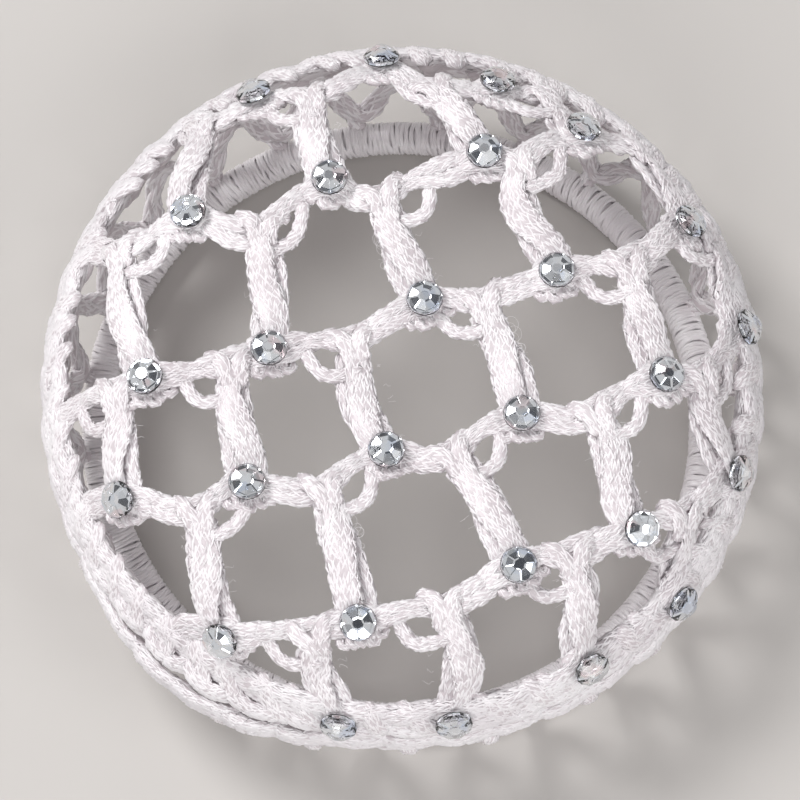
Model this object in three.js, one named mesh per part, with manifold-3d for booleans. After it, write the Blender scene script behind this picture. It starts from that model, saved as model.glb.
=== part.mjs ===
// A crocheted hair snood: a coarse net of flat tape yarn, stretched into a round dome,
// gathered on an elastic edge, with a flat-backed crystal at the foot of every bar.
// Millimetres, +Z up, resting on its edge. The dome's axis is Z.
import * as THREE from 'three';
import { mergeVertices } from 'three/addons/utils/BufferGeometryUtils.js';
import { ConvexGeometry } from 'three/addons/geometries/ConvexGeometry.js';
import Module from 'manifold-3d';

// The dome that the net is stretched into, measured to the middle of the yarn
const crownRadius = 28.5;      // nearly flat crown, out to where the shoulder starts
const crownDip = 1.4;          // how far the net hangs in the middle of the crown
const shoulderRadius = 17.8;   // roundness of the shoulder
const edgeAngle = 135;         // degrees round the shoulder, from the crown to the elastic edge
const borderAngle = 67.5;      // the same for the border chain

// On one side the gathered mesh hangs loose and stands out from the dome
const slackBearing = -124;     // degrees from +X
const slackSpan = 34;          // degrees to either side
const slackOut = 2.6;
const slackEarly = 0.55;       // how early, on the way down, the slack is at its fullest

// The stitches
const stonePitch = 18;         // from stone to stone along a row
const rowPitch = 19;           // from row to row
const chainWidth = 4;          // the chain between two stones
const chainDepth = 2;
const barDepth = 2.6;          // thickness of a bar
const barHeadWidth = 4.8;      // a bar where it hangs from the row above
const barFootWidth = 6.2;      // a bar where it carries its stone
const ridgeReach = 2.6;        // how far the scrubby ridge stands below the stone
const loopWidth = 2.1;         // the thin side loop at the head of a bar
const loopDepth = 1.6;
const loopDrop = 2.7;          // how far down the bar the side loop is caught
const loopReach = 6;           // how far along the chain the side loop starts
const loopBulge = 1.8;         // how far the side loop bows out
const borderWidth = 6.4;
const borderDepth = 3;
const bandWidth = 4.6;         // the chain round the widest part
const bandDepth = 2.4;
const gatherWidth = 3.2;
const gatherDepth = 2;
const gatherCount = 24;        // zigzags of the gathered mesh
const edgeWidth = 4.6;
const edgeDepth = 4;
const seam = 0.3;              // clearance between pieces that touch

// The crystals: round, flat-backed, with an eight-sided table
const stoneDiameter = 4.8;
const stoneHeight = 2;
const girdleHeight = 0.55;
const tableDiameter = 2.5;

// How finely the forms are faceted
const strandSides = 6;
const loopSides = 4;
const gatherSides = 5;
const spanSteps = 2;
const barSteps = 3;
const loopSteps = 3;
const hoopSteps = 44;
const edgeSteps = 48;
const gatherSteps = 4;
const girdleSides = 12;
const tableSides = 8;

// One entry for each row of the net, seen from above with the rows running left to right.
// level: height of the row at the middle of the crown, as a share of the row pitch
// lean, bow: its slope and its curve, for each stone pitch along it
// stones: places of its stones along it, in stone pitches from the middle
// rise: how far each stone is drawn up off the row's line, as a share of the row pitch
// sag: how far its chain hangs before the first stone, between the stones and after the
//   last, as shares of the row pitch
// place: where each sag lies between its two stones, as a share of the way
// hook: where the next row's bar hangs on the chain between the same two stones, likewise
// hang: which of the hooks of the row above carries this row's first bar
// side: the side of its bars that its loops lie on, 1 right and -1 left, because the rows are
//   worked back and forth
// The last row has no chain of its own: its bars end on the border
const ROWS = [
  { level: 2.22, lean: -0.03, bow: -0.15, hang: 0, side: 1,
    stones: [-1.08, -0.15, 0.69],
    rise: [-0.13, -0.01, -0.14],
    sag: [0.13, 0.26, 0.24, 0],
    place: [0.64, 0.47, 0.43, 0.35],
    hook: [0.58, 0.43, 0.45, 0.35] },
  { level: 1.34, lean: 0.24, bow: 0.026, hang: 0, side: -1,
    stones: [-1.51, -0.52, 0.59, 1.30],
    rise: [-0.06, 0, -0.08, -0.06],
    sag: [0.18, 0.26, 0.18, 0.18, 0.15],
    place: [0.54, 0.40, 0.24, 0.34, 0.50],
    hook: [0.45, 0.51, 0.32, 0.33, 0.50] },
  { level: 0.28, lean: 0.30, bow: 0.033, hang: 0, side: 1,
    stones: [-1.79, -0.94, 0.16, 1.10, 2.08],
    rise: [-0.03, -0.01, 0.05, -0.09, -0.04],
    sag: [0.05, 0.07, 0.06, 0.06, 0.21, 0.1],
    place: [0.53, 0.40, 0.52, 0.32, 0.50, 0.35],
    hook: [0.76, 0.69, 0.52, 0.43, 0.52, 0.35] },
  { level: -0.69, lean: 0.243, bow: 0.053, hang: 0, side: -1,
    stones: [-1.98, -1.08, -0.11, 0.84, 1.84, 2.55],
    rise: [-0.01, -0.03, 0.03, 0.01, -0.10, 0.04],
    sag: [0.1, 0.16, 0.14, 0.11, 0.16, 0.2, 0.1],
    place: [0.50, 0.55, 0.44, 0.36, 0.38, 0.46, 0.50],
    hook: [0.50, 0.62, 0.55, 0.48, 0.52, 0.40, 0.50] },
  { level: -1.74, lean: 0.247, bow: 0.052, hang: 1, side: 1,
    stones: [-1.28, -0.30, 0.80, 1.65, 2.47],
    rise: [0.04, -0.02, 0.04, 0, 0.07],
    sag: [0.05, 0.02, 0.07, 0, 0.07, 0.1],
    place: [0.50, 0.56, 0.50, 0.34, 0.36, 0.50],
    hook: [0.50, 0.67, 0.55, 0.43, 0.45, 0.50] },
  { level: -2.66, lean: 0.20, bow: 0.088, hang: 1, side: -1,
    stones: [-0.49, 0.38, 1.38, 2.13],
    rise: [0.07, 0.03, 0.08, 0.13],
    sag: [],
    place: [],
    hook: [] },
];

// Colours and finish
const yarn = new THREE.MeshStandardMaterial({ color: 0xf3edf0, roughness: 0.55, metalness: 0 });
const edging = new THREE.MeshStandardMaterial({ color: 0xeee8ea, roughness: 0.6, metalness: 0 });
const crystal = new THREE.MeshStandardMaterial({ color: 0xc9d0d6, roughness: 0.08, metalness: 0.6 });

// Places worked out from the sizes above
const edgeTurn = THREE.MathUtils.degToRad(edgeAngle);
const borderTurn = THREE.MathUtils.degToRad(borderAngle);
const equatorHeight = edgeDepth / 2 - shoulderRadius * Math.cos(edgeTurn);
const borderReach = crownRadius + shoulderRadius * borderTurn;
const edgeReach = crownRadius + shoulderRadius * edgeTurn;
const netReach = borderReach - borderWidth / 2 - seam;

const up = new THREE.Vector3(0, 0, 1);

// How far the loose stretch of the gathered mesh stands out from the dome
function slack(bearing, turn) {
  const off = THREE.MathUtils.radToDeg(bearing) - slackBearing;
  const around = Math.abs(THREE.MathUtils.euclideanModulo(off + 180, 360) - 180) / slackSpan;
  const down = (turn - borderTurn) / (edgeTurn - borderTurn);
  if (around >= 1 || down <= 0 || down >= 1) {
    return 0;
  }
  const fullness = Math.sin(down ** slackEarly * Math.PI) ** 2;
  return slackOut * Math.cos(around * Math.PI / 2) ** 2 * fullness;
}

// A point of the flat pattern, (u, v) from its middle, laid over the dome; lift is off the surface
function onDome(u, v, lift = 0) {
  const reach = Math.hypot(u, v);
  const bearing = Math.atan2(v, u);
  const turn = Math.max(0, (reach - crownRadius) / shoulderRadius);
  const share = Math.min(1, reach / crownRadius);
  const dip = crownDip * (1 - share ** 2) ** 2;
  const radius = Math.min(reach, crownRadius) + (shoulderRadius + lift) * Math.sin(turn)
    + slack(bearing, turn);
  const height = equatorHeight + (shoulderRadius + lift) * Math.cos(turn) - dip;
  return new THREE.Vector3(radius * Math.cos(bearing), radius * Math.sin(bearing), height);
}

function normalOnDome(u, v) {
  return onDome(u, v, 1).sub(onDome(u, v, 0)).normalize();
}

// Lays a unit shape round a course: each vertex says how far along the course it is and where
// it lies across the yarn, in halves of its width and depth
function layAlong(geometry, read, course, width, depth) {
  geometry.deleteAttribute('normal');
  geometry.deleteAttribute('uv');
  const shape = mergeVertices(geometry);
  const spots = shape.getAttribute('position');
  const unit = new THREE.Vector3();
  for (let i = 0; i < spots.count; i += 1) {
    const { along, across, above } = read(unit.fromBufferAttribute(spots, i));
    const [u, v] = course(along);
    const [uBefore, vBefore] = course(along - 0.001);
    const [uAfter, vAfter] = course(along + 0.001);
    const forward = onDome(uAfter, vAfter).sub(onDome(uBefore, vBefore)).normalize();
    const side = new THREE.Vector3().crossVectors(forward, normalOnDome(u, v)).normalize();
    const out = new THREE.Vector3().crossVectors(side, forward).normalize();
    const place = onDome(u, v)
      .addScaledVector(side, across * width(along) / 2)
      .addScaledVector(out, above * depth(along) / 2);
    spots.setXYZ(i, place.x, place.y, place.z);
  }
  return shape;
}

// An open strand of yarn with a flattened section
function strand(course, steps, width, depth, sides = strandSides) {
  const rod = new THREE.CylinderGeometry(1, 1, 1, sides, steps);
  rod.rotateY(Math.PI / sides);
  const flat = Math.cos(Math.PI / sides);
  const read = (p) => ({ along: p.y + 0.5, across: p.x, above: p.z / flat });
  return layAlong(rod, read, course, width, depth);
}

// A closed strand that runs right round the dome; its course is given by the bearing, 0 to 1
function hoop(course, steps, width, depth, sides = strandSides) {
  const ring = new THREE.TorusGeometry(1, 0.5, sides, steps);
  const read = (p) => ({
    along: Math.atan2(p.y, p.x) / (2 * Math.PI),
    across: (Math.hypot(p.x, p.y) - 1) / 0.5,
    above: p.z / 0.5,
  });
  return layAlong(ring, read, course, width, depth);
}

const wasm = await Module();
wasm.setup();

function toSolid(geometry) {
  const shape = mergeVertices(geometry);
  const vertProperties = new Float32Array(shape.getAttribute('position').array);
  const triVerts = new Uint32Array(shape.index.array);
  return new wasm.Manifold(new wasm.Mesh({ numProp: 3, vertProperties, triVerts }));
}

function toGeometry(solid) {
  const mesh = solid.getMesh();
  const geometry = new THREE.BufferGeometry();
  geometry.setAttribute('position', new THREE.BufferAttribute(mesh.vertProperties, 3));
  geometry.setIndex(new THREE.BufferAttribute(mesh.triVerts, 1));
  geometry.computeVertexNormals();
  return geometry;
}

// A place along a row, in stone pitches, hanging below the row's line by a share of the row pitch
function rowPoint(row, along, drop = 0) {
  const level = row.level + row.lean * along + row.bow * along ** 2 - drop;
  return [stonePitch * along, rowPitch * level];
}

// Draws a point in towards the middle until it is no further out than the given reach
function within([u, v], limit) {
  const reach = Math.hypot(u, v);
  const share = Math.min(1, limit / reach);
  return [u * share, v * share];
}

// The row's stones, the sags of its chain and the hooks of the next row's bars, along the row
function plan(row) {
  const alongs = [row.stones[0] - 1, ...row.stones, row.stones[row.stones.length - 1] + 1];
  const rises = [0, ...row.rise, 0];
  const knots = alongs.map((along, i) => (
    within(rowPoint(row, along, -rises[i]), borderReach)));
  const sags = row.sag.map((drop, i) => {
    const along = THREE.MathUtils.lerp(alongs[i], alongs[i + 1], row.place[i]);
    return within(rowPoint(row, along, drop), netReach);
  });
  const hooks = row.hook.map((share, i) => {
    const place = row.place[i];
    return share < place
      ? line(knots[i], sags[i])(share / place)
      : line(sags[i], knots[i + 1])((share - place) / (1 - place));
  });
  return { stones: knots.slice(1, -1), sags, hooks };
}

const plans = ROWS.map(plan);

// The point of the border that lies straight outwards from another point
function toBorder([u, v]) {
  const reach = Math.hypot(u, v);
  return [u * borderReach / reach, v * borderReach / reach];
}

const overBorder = ([u, v]) => Math.hypot(u, v) > netReach;

// The points of a row's chain, from border to border, by way of its stones and sags
function chainPoints({ stones, sags }) {
  const points = sags.flatMap((sag, i) => (i < stones.length ? [sag, stones[i]] : [sag]));
  const first = overBorder(stones[0]) ? [] : [toBorder(sags[0]), sags[0]];
  const last = overBorder(stones[stones.length - 1]) ? [] : [sags[sags.length - 1]];
  const ends = last.map(toBorder);
  return [...first, ...points.slice(1, -1), ...last, ...ends];
}

const flatPoint = ([u, v]) => new THREE.Vector3(u, v, 0);
const fromCurve = (curve) => (t) => {
  const p = curve.getPoint(THREE.MathUtils.clamp(t, 0, 1));
  return [p.x, p.y];
};

// A course has to go on past its ends, so that its direction there can be read
function extended(course) {
  return (t) => {
    const inside = THREE.MathUtils.clamp(t, 0.002, 0.998);
    if (inside === t) {
      return course(t);
    }
    const [u, v] = course(inside);
    const [uNext, vNext] = course(inside + (inside < 0.5 ? 0.002 : -0.002));
    const past = (t - inside) / (inside < 0.5 ? 0.002 : -0.002);
    return [u + (uNext - u) * past, v + (vNext - v) * past];
  };
}

function line(from, to) {
  return (t) => [from[0] + (to[0] - from[0]) * t, from[1] + (to[1] - from[1]) * t];
}

function distance(a, b) {
  return Math.hypot(a[0] - b[0], a[1] - b[1]);
}

// A point at a set distance from one point towards another
function towards(from, to, length) {
  const share = length / distance(from, to);
  return line(from, to)(share);
}

// The zigzag chain of a row
function chain(rowPlan, spare = 0) {
  const path = chainPoints(rowPlan);
  const curve = new THREE.CatmullRomCurve3(path.map(flatPoint), false, 'centripetal');
  const steps = (path.length - 1) * spanSteps;
  return strand(extended(fromCurve(curve)), steps,
    () => chainWidth + 2 * spare, () => chainDepth + 2 * spare);
}

// The bar that hangs from a sag of the row above and carries a stone, with the ridge below it
function bar(head, stone, spare = 0) {
  const top = towards(head, stone, chainWidth / 2 + seam);
  const foot = towards(head, stone, distance(head, stone) + ridgeReach + spare);
  const width = (t) => THREE.MathUtils.lerp(barHeadWidth, barFootWidth, t) + 2 * spare;
  return strand(line(top, foot), barSteps, width, () => barDepth + 2 * spare);
}

// The thin loop at the head of a bar, from the chain on one side of it down to the bar
function sideLoop(head, stone, beside, side) {
  const caught = towards(head, stone, loopDrop + chainWidth / 2);
  const start = towards(towards(head, beside, loopReach), caught, chainWidth / 2 + seam);
  const middle = line(start, caught)(0.5);
  const outwards = new THREE.Vector2(start[1] - caught[1], caught[0] - start[0])
    .setLength(side * loopBulge);
  const bow = [middle[0] + outwards.x, middle[1] + outwards.y];
  const curve = new THREE.CatmullRomCurve3([start, bow, caught].map(flatPoint));
  return strand(extended(fromCurve(curve)), loopSteps, () => loopWidth, () => loopDepth, loopSides);
}

// Once round the flat pattern; reach gives the distance from the middle at a bearing
const round = (reach) => (t) => {
  const bearing = 2 * Math.PI * t;
  return [reach(bearing) * Math.cos(bearing), reach(bearing) * Math.sin(bearing)];
};

function border(spare = 0) {
  return hoop(round(() => borderReach), hoopSteps,
    () => borderWidth + 2 * spare, () => borderDepth + 2 * spare);
}

// The chain round the widest part, under the border, and the gathered mesh that zigzags from
// there down to the elastic edge
const bandReach = borderReach + borderWidth / 2 + seam + bandWidth / 2;
const gatherTop = bandReach + bandWidth / 2 + seam + gatherWidth / 2;
const gatherFoot = edgeReach - edgeWidth / 2 - seam - gatherWidth / 2;

function zigzag(bearing) {
  const swing = Math.cos(gatherCount * bearing);
  return THREE.MathUtils.lerp(gatherFoot, gatherTop, (1 + swing) / 2);
}

function band(spare = 0) {
  return hoop(round(() => bandReach), hoopSteps,
    () => bandWidth + 2 * spare, () => bandDepth + 2 * spare);
}

function gather() {
  return hoop(round(zigzag), gatherCount * gatherSteps,
    () => gatherWidth, () => gatherDepth, gatherSides);
}

// The edging round the elastic: a closed rope with a flat underside that the snood stands on
function edge() {
  const radius = crownRadius + shoulderRadius * Math.sin(edgeTurn);
  const half = edgeWidth / 2;
  const profile = [
    [-0.5, 0], [0.5, 0], [1, 0.3], [1, 0.65], [0.5, 1], [-0.5, 1], [-1, 0.65], [-1, 0.3], [-0.5, 0],
  ].map(([across, height]) => new THREE.Vector2(radius + across * half, height * edgeDepth));
  const ring = new THREE.LatheGeometry(profile, edgeSteps);
  ring.rotateX(Math.PI / 2);
  return ring;
}

// A flat-backed crystal standing on the origin
function stone() {
  const points = [];
  const circle = (radius, height, sides, turn = 0) => {
    for (let i = 0; i < sides; i += 1) {
      const angle = turn + 2 * Math.PI * i / sides;
      points.push(new THREE.Vector3(radius * Math.cos(angle), radius * Math.sin(angle), height));
    }
  };
  circle(stoneDiameter / 2, 0, girdleSides);
  circle(stoneDiameter / 2, girdleHeight, girdleSides);
  circle(tableDiameter / 2, stoneHeight, tableSides, Math.PI / tableSides);
  return new ConvexGeometry(points);
}

const snood = new THREE.Group();

function add(name, geometry, material) {
  const mesh = new THREE.Mesh(geometry, material);
  mesh.name = name;
  snood.add(mesh);
  return mesh;
}

// Where a row's bars hang, their stones, and what lies beside each bar along the row above, on
// the side of its loop: a stone, or the border before the first one
function hangers(r) {
  const above = plans[r - 1];
  const { hang, side } = ROWS[r];
  const turned = side < 0 ? 1 : 0;
  const start = above && !overBorder(above.stones[0]) ? toBorder(above.sags[0]) : undefined;
  return plans[r].stones.map((at, i) => ({
    at,
    head: above ? above.hooks[i + hang] : toBorder(at),
    beside: above ? [start, ...above.stones][i + hang + 1 - turned] : undefined,
  }));
}

// A row's own solid: its chain, or the border for the last row, with its bars and side loops
function rowSolid(r) {
  const own = toSolid(r < lastRow ? chain(plans[r]) : border());
  return hangers(r).reduce((built, { at, head, beside }) => {
    const hung = built.add(toSolid(bar(head, at)));
    return beside ? hung.add(toSolid(sideLoop(head, at, beside, ROWS[r].side))) : hung;
  }, own);
}

// The room that a row's chain and bars take up, with the seam round them
function rowRoom(r) {
  return hangers(r).reduce((room, { at, head }) => (
    room.add(toSolid(bar(head, at, seam)))), toSolid(chain(plans[r], seam)));
}

// The rows, each cut clear of the row above it and of the border, and the border with the
// bars of the last row, cut clear of the chain round the widest part
const lastRow = ROWS.length - 1;
const borderRoom = toSolid(border(seam));
const bandRoom = toSolid(band(seam));
plans.forEach((rowPlan, r) => {
  let solid = rowSolid(r).subtract(r < lastRow ? borderRoom : bandRoom);
  if (r > 0) {
    solid = solid.subtract(rowRoom(r - 1));
  }
  add(r < lastRow ? `net_row_${r + 1}` : 'border_row', toGeometry(solid), yarn);
});

add('rim_chain', band(), yarn);
add('gathered_mesh', gather(), yarn);
add('elastic_edge', edge(), edging);

// The crystals, seated on the feet of the bars, or on the border where they reach it
plans.forEach(({ stones }, r) => {
  stones.forEach(([u, v], i) => {
    const nearBorder = overBorder([u, v].map((x) => x * (1 + stoneDiameter / 2 / Math.hypot(u, v))));
    const seat = (nearBorder ? Math.max(barDepth, borderDepth) : barDepth) / 2 + seam;
    const mesh = add(`crystal_${r + 1}_${i + 1}`, stone(), crystal);
    mesh.position.copy(onDome(u, v, seat));
    mesh.quaternion.setFromUnitVectors(up, normalOnDome(u, v));
  });
});

export default snood;
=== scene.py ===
"""Looks of the crocheted hair snood: knitted tape yarn, cut crystals, floor, light and camera."""
import math

import bpy
import numpy as np
from mathutils import Matrix, Vector


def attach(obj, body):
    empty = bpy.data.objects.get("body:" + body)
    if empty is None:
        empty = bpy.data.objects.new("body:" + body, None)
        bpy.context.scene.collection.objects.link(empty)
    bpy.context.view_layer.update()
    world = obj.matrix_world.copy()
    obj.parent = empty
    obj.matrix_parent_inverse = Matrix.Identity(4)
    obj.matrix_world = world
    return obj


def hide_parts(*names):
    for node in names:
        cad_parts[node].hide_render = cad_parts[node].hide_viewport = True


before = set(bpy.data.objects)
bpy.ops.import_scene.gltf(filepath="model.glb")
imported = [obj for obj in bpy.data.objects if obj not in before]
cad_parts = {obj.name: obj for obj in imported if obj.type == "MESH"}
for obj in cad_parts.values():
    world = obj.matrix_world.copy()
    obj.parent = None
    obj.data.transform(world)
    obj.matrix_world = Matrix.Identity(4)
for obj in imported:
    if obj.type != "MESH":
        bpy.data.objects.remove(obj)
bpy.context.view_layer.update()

MM = 0.001
SEED = 803
rng = np.random.default_rng(SEED)

# The dome and the net's courses are the ones in the part's source, in millimetres
CROWN_RADIUS = 28.5
CROWN_DIP = 1.4
SHOULDER_RADIUS = 17.8
EDGE_TURN = math.radians(135)
BORDER_TURN = math.radians(67.5)
SLACK_BEARING = -124
SLACK_SPAN = 34
SLACK_OUT = 2.6
SLACK_EARLY = 0.55     # how early, on the way down, the slack is at its fullest
STONE_PITCH = 18
ROW_PITCH = 19
CHAIN_WIDTH = 4
LOOP_DROP = 2.7
LOOP_REACH = 6
LOOP_BULGE = 1.8
RIDGE_REACH = 2.6
BAR_DEPTH = 2.6
BORDER_WIDTH = 6.4
BORDER_DEPTH = 3
BAND_WIDTH = 4.6
GATHER_WIDTH = 3.2
GATHER_COUNT = 24
EDGE_WIDTH = 4.6
EDGE_DEPTH = 4
SEAM = 0.3
STONE_DIAMETER = 4.8

ROWS = [
    dict(level=2.22, lean=-0.03, bow=-0.15, hang=0, side=1,
         stones=[-1.08, -0.15, 0.69],
         rise=[-0.13, -0.01, -0.14],
         sag=[0.13, 0.26, 0.24, 0],
         place=[0.64, 0.47, 0.43, 0.35],
         hook=[0.58, 0.43, 0.45, 0.35]),
    dict(level=1.34, lean=0.24, bow=0.026, hang=0, side=-1,
         stones=[-1.51, -0.52, 0.59, 1.30],
         rise=[-0.06, 0, -0.08, -0.06],
         sag=[0.18, 0.26, 0.18, 0.18, 0.15],
         place=[0.54, 0.40, 0.24, 0.34, 0.50],
         hook=[0.45, 0.51, 0.32, 0.33, 0.50]),
    dict(level=0.28, lean=0.30, bow=0.033, hang=0, side=1,
         stones=[-1.79, -0.94, 0.16, 1.10, 2.08],
         rise=[-0.03, -0.01, 0.05, -0.09, -0.04],
         sag=[0.05, 0.07, 0.06, 0.06, 0.21, 0.1],
         place=[0.53, 0.40, 0.52, 0.32, 0.50, 0.35],
         hook=[0.76, 0.69, 0.52, 0.43, 0.52, 0.35]),
    dict(level=-0.69, lean=0.243, bow=0.053, hang=0, side=-1,
         stones=[-1.98, -1.08, -0.11, 0.84, 1.84, 2.55],
         rise=[-0.01, -0.03, 0.03, 0.01, -0.10, 0.04],
         sag=[0.1, 0.16, 0.14, 0.11, 0.16, 0.2, 0.1],
         place=[0.50, 0.55, 0.44, 0.36, 0.38, 0.46, 0.50],
         hook=[0.50, 0.62, 0.55, 0.48, 0.52, 0.40, 0.50]),
    dict(level=-1.74, lean=0.247, bow=0.052, hang=1, side=1,
         stones=[-1.28, -0.30, 0.80, 1.65, 2.47],
         rise=[0.04, -0.02, 0.04, 0, 0.07],
         sag=[0.05, 0.02, 0.07, 0, 0.07, 0.1],
         place=[0.50, 0.56, 0.50, 0.34, 0.36, 0.50],
         hook=[0.50, 0.67, 0.55, 0.43, 0.45, 0.50]),
    dict(level=-2.66, lean=0.20, bow=0.088, hang=1, side=-1,
         stones=[-0.49, 0.38, 1.38, 2.13],
         rise=[0.07, 0.03, 0.08, 0.13],
         sag=[],
         place=[],
         hook=[]),
]

EQUATOR_HEIGHT = EDGE_DEPTH / 2 - SHOULDER_RADIUS * math.cos(EDGE_TURN)
BORDER_REACH = CROWN_RADIUS + SHOULDER_RADIUS * BORDER_TURN
EDGE_REACH = CROWN_RADIUS + SHOULDER_RADIUS * EDGE_TURN
NET_REACH = BORDER_REACH - BORDER_WIDTH / 2 - SEAM
EDGE_RADIUS = CROWN_RADIUS + SHOULDER_RADIUS * math.sin(EDGE_TURN)
BAND_REACH = BORDER_REACH + BORDER_WIDTH / 2 + SEAM + BAND_WIDTH / 2
GATHER_TOP = BAND_REACH + BAND_WIDTH / 2 + SEAM + GATHER_WIDTH / 2
GATHER_FOOT = EDGE_REACH - EDGE_WIDTH / 2 - SEAM - GATHER_WIDTH / 2

# The tapes: width and thickness
CHAIN_TAPE = (2.25, 1.05)
LOOP_TAPE = (1.75, 1.0)
HEAD_TAPE = (2.3, 0.85)
RIDGE_TAPE = (1.15, 0.9)
COLLAR_TAPE = (2.3, 1.3)
BORDER_TAPE = (3.1, 1.6)
RIM_TAPE = (2.9, 1.35)
GATHER_TAPE = (2.0, 1.1)
HOLD_TAPE = (2.3, 1.0)

# The chain stitches, and how they overlap along the chain, in stitches
CHAIN_PITCH = 7.4
CHAIN_SPREAD = 0.88    # half the width of a stitch's loop, at the middle of its tape
STITCH_BACK = 0.16     # how far before its place a stitch starts
STITCH_RUN = 1.36      # how long it is
STITCH_POINTS = 34
WIDE_SHARE = 0.2       # share of the stitches that stand wider
WIDER = 1.5

# The two leaves of a post, the lower and the upper one
LEAF_WIDTHS = (4.4, 3.9)
LEAF_THICKNESS = 0.95
LEAF_OFFS = ((0.35, 0.9), (0.5, 0.85))     # from the post's middle, at its head and at its foot
LEAF_LIFTS = (-0.42, 0.62)
LEAF_ROLLS = (-0.2, 0.34)

# The openings between a post, its side loop and the chain above
OPENING_REACH = 2.7    # how far along the chain an opening is felt
OPENING_SHIFT = 0.75   # how far the chain gives way
OPENING_BESIDE = 4.3   # from the head of the post, along the chain

# The knitted tape: how it is laid out on the surface of a strand
RING_STEP = 0.75       # spacing of the sections of a strand
RING_SIDES = 8
WALE = 0.23            # spacing of the columns of stitches
STITCH = 1.55          # length of a stitch's leg
LEG_WIDTH = 0.115      # half the width of a leg
LEG_HEIGHT = 0.15
LEG_SLANT = 0.22       # how far a leg leans to the side, from its middle to its end
OPEN_WALES = 0.3       # share of the columns that have a run of small openings
OPEN_REACH = 0.48      # how much shorter the legs are there
INNER_SIZE = 1.9       # how much larger the stitches are on a strand's inner side
OUTER_SPREAD = 105     # how far round from its outer side the fine stitches reach, in degrees
STAGGER = 0.22         # how much further along every second pair of columns stands, in stitches
LEG_SHARE = 0.58       # half a leg's length, as a share of the stitches' spacing
SHADED_CORE, TAPE = 0, 1      # the look of a face: the core, whose darker colour is painted shade between the stitches, or the stitches

# The edging, the border and the stray fibres
RING_POINTS = 400      # in a line all round the dome
BORDER_TURNS = 58      # short turns of tape over the border
EDGE_TURNS = 560       # turns of thread over the elastic
THREAD = 0.34          # half the thickness of the thread
THREAD_SIDES = 6
THREAD_POINTS = 16
FUZZ = 6               # fine fibres on each post
FUZZ_RADIUS = 0.018
TUFT_RADIUS = 0.022
TUFTS = ((2, 2, -1), (1, 1, -1), (3, 3, 1), (4, 1, 1))     # row, post and the side of the post

# Floor, light and camera; lengths are in metres
FLOOR_REACH = 2
FLOOR_DROP = 0.00005   # keeps the floor clear of the edging's flat underside
TENT_BOXES = 5         # bright boxes round the tent
TENT_TURN = 0.6
TENT_BANDS = 15
GLOW_HEIGHT = 0.52     # the tent is brighter below this height, where straight up is 1
GLOW_RISE = 3.2
TENT_STRENGTH = 0.58
CAMERA_ELEVATION = math.radians(73)
CAMERA_DISTANCE = 0.470
PICTURE = 800          # pixels
PIXELS_PER_M = 7630    # at the target
TARGET = Vector((0, 0, 0.0184))
TARGET_PIXEL = (402, 386)


def unit(v):
    return v / np.maximum(np.linalg.norm(v, axis=-1, keepdims=True), 1e-9)


def polar(reach, angle):
    return np.column_stack([reach * np.cos(angle), reach * np.sin(angle)])


def ring_line(reach):
    return polar(reach, np.linspace(0, 2 * np.pi, RING_POINTS))


def crosswise(way):
    """The way to the left of a way on the flat pattern, or of each of several."""
    return np.stack([-way[..., 1], way[..., 0]], -1)


def post_ways(head, stone):
    """The way down a post on the flat pattern, and the way across it."""
    down = unit(stone - head)
    return down, crosswise(down)


def tube_faces(rings, sides, closed=False):
    """The triangles between the rings of a tube."""
    i, j = np.meshgrid(np.arange(rings if closed else rings - 1), np.arange(sides), indexing="ij")
    here, there = i * sides, (i + 1) % rings * sides
    a, b, c, d = here + j, here + (j + 1) % sides, there + j, there + (j + 1) % sides
    return np.concatenate([np.stack([a, b, c], -1).reshape(-1, 3),
                           np.stack([b, d, c], -1).reshape(-1, 3)])


def dome(spots, lift):
    """Lays points of the flat pattern over the dome and returns them with the dome's normals."""
    reach = np.hypot(spots[:, 0], spots[:, 1])
    bearing = np.arctan2(spots[:, 1], spots[:, 0])
    turn = np.maximum(0, (reach - CROWN_RADIUS) / SHOULDER_RADIUS)
    dip = CROWN_DIP * (1 - np.minimum(1, reach / CROWN_RADIUS) ** 2) ** 2
    off = (np.degrees(bearing) - SLACK_BEARING + 180) % 360 - 180
    around = np.clip(np.abs(off) / SLACK_SPAN, 0, 1)
    down = np.clip((turn - BORDER_TURN) / (EDGE_TURN - BORDER_TURN), 0, 1) ** SLACK_EARLY
    slack = SLACK_OUT * np.cos(around * np.pi / 2) ** 2 * np.sin(down * np.pi) ** 2
    radius = np.minimum(reach, CROWN_RADIUS) + (SHOULDER_RADIUS + lift) * np.sin(turn) + slack
    height = EQUATOR_HEIGHT + (SHOULDER_RADIUS + lift) * np.cos(turn) - dip
    place = np.stack([radius * np.cos(bearing), radius * np.sin(bearing), height], -1)
    normal = np.stack([np.sin(turn) * np.cos(bearing), np.sin(turn) * np.sin(bearing),
                       np.cos(turn)], -1)
    return place, normal


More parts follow.
